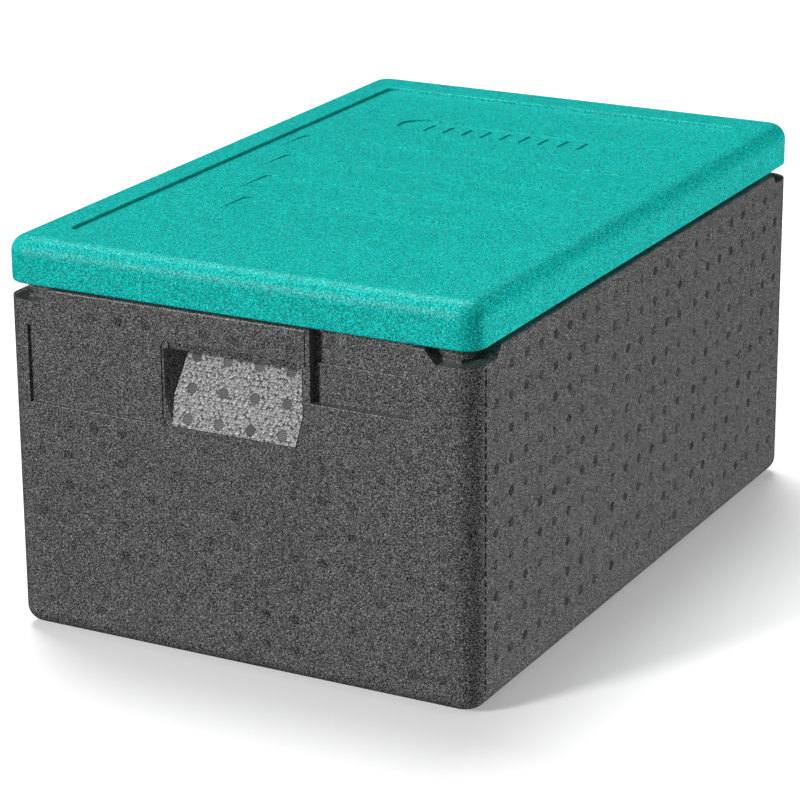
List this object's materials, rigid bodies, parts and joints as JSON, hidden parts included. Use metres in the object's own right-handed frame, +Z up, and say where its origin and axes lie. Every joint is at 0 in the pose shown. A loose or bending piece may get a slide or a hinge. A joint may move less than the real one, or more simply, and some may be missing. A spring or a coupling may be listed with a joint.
{
  "type": "insulated food carrier",
  "caption": "Top-loading insulated box of moulded bead foam with a lift-off lid, hand pockets in both short ends and finger notches under the lid's corners.",
  "frame": {"origin": "middle of the underside of the stacking foot, on the surface that the box stands on", "axes": "+Z up, +Y along the box, +X across the short ends; the ends are alike after half a turn about Z"},
  "size_m": [0.4, 0.6, 0.316],
  "materials": {
    "body_foam": "charcoal bead foam, fine moulded grain, satin",
    "lid_foam": "teal bead foam, fine moulded grain, satin"
  },
  "bodies": {
    "body": {"body": "body_foam"},
    "lid": {"lid": "lid_foam"}
  },
  "joints": [
    {"name": "lid_lift", "type": "slide", "parent": "body", "child": "lid", "axis": [0, 0, 1], "range_m": [0, 0.3]}
  ]
}
